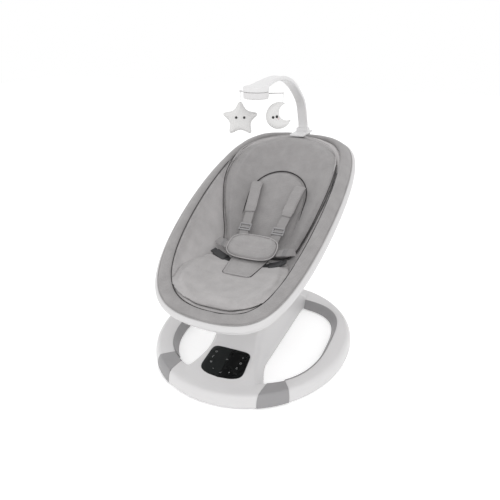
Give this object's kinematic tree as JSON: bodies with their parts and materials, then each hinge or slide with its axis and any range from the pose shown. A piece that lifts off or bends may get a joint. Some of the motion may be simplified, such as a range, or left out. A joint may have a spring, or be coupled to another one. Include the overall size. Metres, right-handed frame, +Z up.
{
  "type": "baby swing",
  "caption": "Electric baby swing: padded reclining seat on a pedestal with an oval floor ring, harness, and a toy bar with a turning mobile.",
  "frame": {"origin": "on the floor, under the central grip pad, at the middle of the floor ring's width", "axes": "+Z up, -Y towards the feet end and the touch panel, +X to the sitter's left"},
  "size_m": [0.54, 0.725, 0.7149],
  "materials": {
    "white_plastic": "smooth satin white",
    "grey_plastic": "matt mid grey",
    "dark_plastic": "matt near black",
    "panel_black": "gloss black touch surface",
    "rubber": "soft grip rubber",
    "fabric_grey": "melange grey knit",
    "fabric_light": "lighter grey knit",
    "webbing": "woven grey webbing",
    "plush_white": "short plush",
    "steel": "turned steel",
    "board_green": "circuit board",
    "cord": "thin white cord"
  },
  "bodies": {
    "base": {"pedestal": "white_plastic", "side_arch_left": "white_plastic", "side_arch_right": "white_plastic", "joint_sleeve_left": "grey_plastic", "joint_sleeve_right": "grey_plastic", "inner_liner_left": "grey_plastic", "inner_liner_right": "grey_plastic", "base_plate": "grey_plastic", "base_screw_left": "steel", "base_screw_right": "steel", "grip_pad_front": "rubber", "grip_pad_rear": "rubber", "grip_pad_left": "rubber", "grip_pad_right": "rubber", "grip_pad_centre": "rubber", "touch_panel": "panel_black", "control_board": "board_green", "loudspeaker": "dark_plastic", "drive_motor": "steel", "shaft_bearing": "steel", "power_inlet": "dark_plastic"},
    "power_button": {"power_button": "grey_plastic"},
    "swing_carrier": {"swing_shaft": "steel", "turntable": "grey_plastic", "hinge_ear_left": "grey_plastic", "hinge_ear_right": "grey_plastic", "hinge_pin": "steel"},
    "recline_knob": {"recline_knob": "grey_plastic"},
    "seat": {"seat_shell": "white_plastic", "seat_rim": "white_plastic", "border_cover": "fabric_grey", "seat_liner": "fabric_grey", "back_pad": "fabric_grey", "insert_pad": "fabric_grey", "seat_pad": "fabric_light", "hinge_knuckle": "white_plastic", "shoulder_sleeve_left": "fabric_grey", "shoulder_sleeve_right": "fabric_grey", "shoulder_strap_left": "webbing", "shoulder_strap_right": "webbing", "strap_adjuster_left": "grey_plastic", "strap_adjuster_right": "grey_plastic", "waist_strap_left": "webbing", "waist_strap_right": "webbing", "waist_tongue_left": "dark_plastic", "waist_tongue_right": "dark_plastic", "buckle": "dark_plastic", "buckle_cover": "fabric_light", "crotch_cover": "fabric_light", "arm_mount": "white_plastic", "arm_clip": "grey_plastic"},
    "buckle_button": {"buckle_button": "grey_plastic"},
    "toy_bar": {"toy_arm": "white_plastic"},
    "mobile": {"mobile_disc": "white_plastic", "mobile_rod_moon": "white_plastic", "mobile_rod_star": "white_plastic"},
    "star": {"star_toy": "plush_white", "star_cord": "cord"},
    "moon": {"moon_toy": "plush_white", "moon_cord": "cord"}
  },
  "joints": [
    {"name": "seat_swing", "type": "hinge", "parent": "base", "child": "swing_carrier", "pos_m": [0, 0.02, 0.194], "axis": [0, 0, 1], "range_deg": [-15, 15]},
    {"name": "seat_recline", "type": "hinge", "parent": "swing_carrier", "child": "seat", "pos_m": [0, 0.02, 0.214], "axis": [1, 0, 0], "range_deg": [-16, 0]},
    {"name": "recline_release", "type": "slide", "parent": "swing_carrier", "child": "recline_knob", "axis": [-1, 0, 0], "range_m": [0, 0.003], "stiffness_N_per_m": 400, "springref_m": -0.001},
    {"name": "power_press", "type": "slide", "parent": "base", "child": "power_button", "axis": [0, -1, 0], "range_m": [0, 0.0025], "stiffness_N_per_m": 400, "springref_m": -0.001},
    {"name": "buckle_press", "type": "slide", "parent": "seat", "child": "buckle_button", "axis": [0, 0.3649, -0.9311], "range_m": [0, 0.002], "stiffness_N_per_m": 400, "springref_m": -0.001},
    {"name": "toy_bar_pull", "type": "slide", "parent": "seat", "child": "toy_bar", "axis": [0, 0, 1], "range_m": [0, 0.03]},
    {"name": "mobile_turn", "type": "hinge", "parent": "toy_bar", "child": "mobile", "pos_m": [0, -0.0074, 0.686], "axis": [0, 0, 1], "continuous": true},
    {"name": "star_sway", "type": "hinge", "parent": "mobile", "child": "star", "pos_m": [-0.05657, 0.02659, 0.686], "axis": [-0.8572, 0.515, 0], "range_deg": [-35, 35]},
    {"name": "moon_sway", "type": "hinge", "parent": "mobile", "child": "moon", "pos_m": [0.05535, 0.02855, 0.686], "axis": [0.8387, 0.5446, 0], "range_deg": [-35, 35]}
  ]
}
